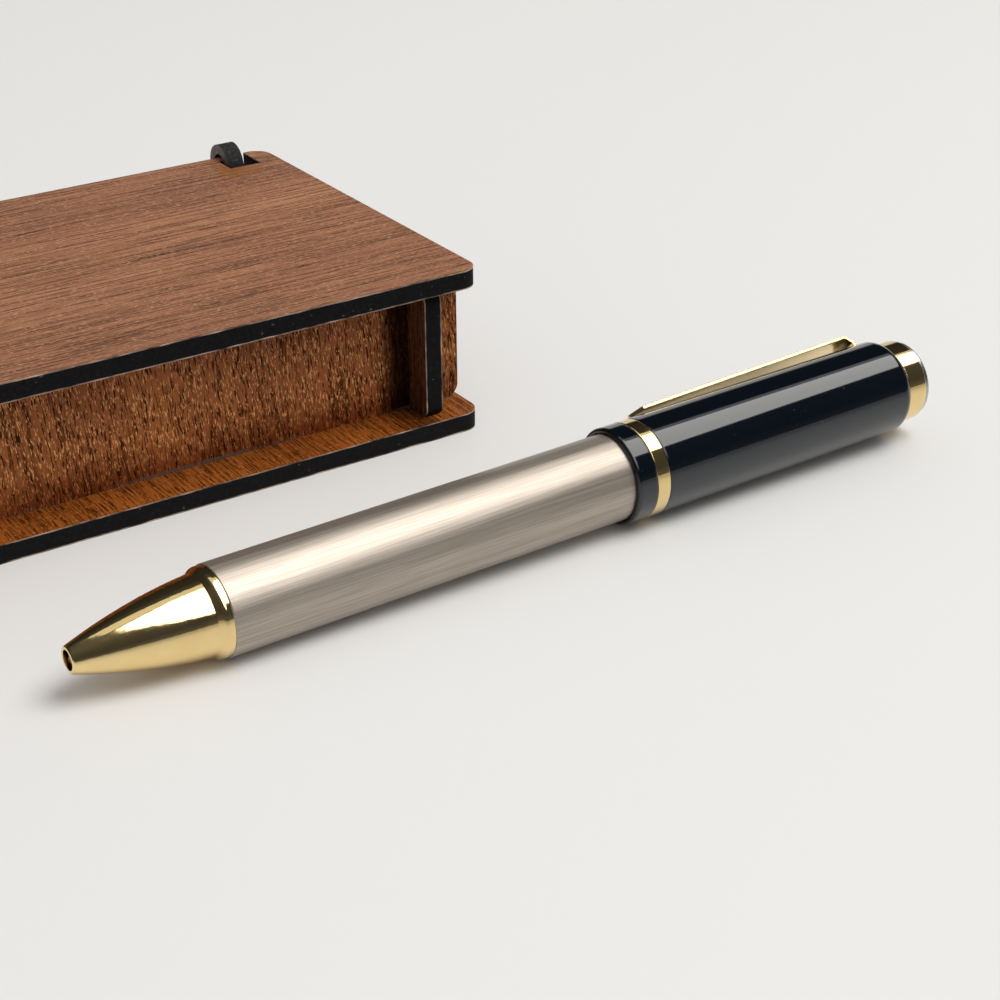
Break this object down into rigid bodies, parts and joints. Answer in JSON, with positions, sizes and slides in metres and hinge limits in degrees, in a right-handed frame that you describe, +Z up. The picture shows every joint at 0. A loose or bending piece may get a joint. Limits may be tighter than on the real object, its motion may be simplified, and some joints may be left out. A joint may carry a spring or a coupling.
{
  "type": "writing set in wooden box",
  "caption": "Shallow veneered wooden box with a lid that swings back on board-cut hinge ears, and a twist-action ballpoint pen lying in front of it.",
  "frame": {"origin": "centre of the base plate's underside, on the surface the set stands on", "axes": "+X along the box's length to its right end, +Y from the front of the box to its hinged back, +Z up"},
  "size_m": [0.2281, 0.1145, 0.0284],
  "materials": {
    "walnut_board": "satin veneer with burnt edges",
    "gold_plate": "polished",
    "brushed_barrel": "brushed lengthwise",
    "black_lacquer": "gloss",
    "dome_silver": "satin",
    "raw_brass": "machined",
    "mechanism_plastic": "moulded",
    "plain_steel": "drawn"
  },
  "bodies": {
    "box": {"base_plate": "walnut_board", "front_wall": "walnut_board", "back_wall": "walnut_board", "left_end_wall": "walnut_board", "right_end_wall": "walnut_board", "left_pen_rest": "walnut_board", "right_pen_rest": "walnut_board"},
    "lid": {"lid_plate": "walnut_board"},
    "pen_lower": {"nose_cone": "gold_plate", "lower_barrel": "brushed_barrel", "barrel_coupler": "raw_brass", "guide_sleeve": "mechanism_plastic", "friction_bush": "mechanism_plastic", "retaining_ring": "plain_steel", "refill_spring": "plain_steel"},
    "pen_upper": {"trim_collar": "black_lacquer", "centre_band": "gold_plate", "upper_barrel": "black_lacquer", "barrel_liner": "raw_brass", "cam_sleeve": "mechanism_plastic", "clip_holder": "mechanism_plastic", "end_cap": "gold_plate", "cap_dome": "dome_silver"},
    "refill": {"refill_ball": "plain_steel", "refill_nozzle": "raw_brass", "refill_tube": "plain_steel", "refill_crown": "mechanism_plastic", "plunger": "mechanism_plastic", "drive_pin": "plain_steel"},
    "pen_clip": {"clip": "gold_plate"}
  },
  "joints": [
    {"name": "lid_hinge", "type": "hinge", "parent": "box", "child": "lid", "pos_m": [0, 0.03335, 0.02455], "axis": [-1, 0, 0], "range_deg": [0, 190]},
    {"name": "pen_lift", "type": "slide", "parent": "box", "child": "pen_lower", "axis": [0, 0, 1], "range_m": [0, 0.05]},
    {"name": "barrel_twist", "type": "hinge", "parent": "pen_lower", "child": "pen_upper", "pos_m": [0.00345, -0.07193, 0.00595], "axis": [0.9998, 0.0181, 0.0129], "range_deg": [0, 150]},
    {"name": "refill_slide", "type": "slide", "parent": "pen_lower", "child": "refill", "axis": [-0.9998, -0.0181, -0.0129], "range_m": [0, 0.00401], "deforming": ["refill_spring"]},
    {"name": "clip_flex", "type": "hinge", "parent": "pen_upper", "child": "pen_clip", "pos_m": [0.13402, -0.06433, 0.01177], "axis": [-0.0012, 0.6212, -0.7836], "range_deg": [0, 3], "stiffness_Nm_per_rad": 4}
  ],
  "couplings": [
    {"joint": "refill_slide", "follows": "barrel_twist", "m_per_rad": 0.0015279}
  ]
}
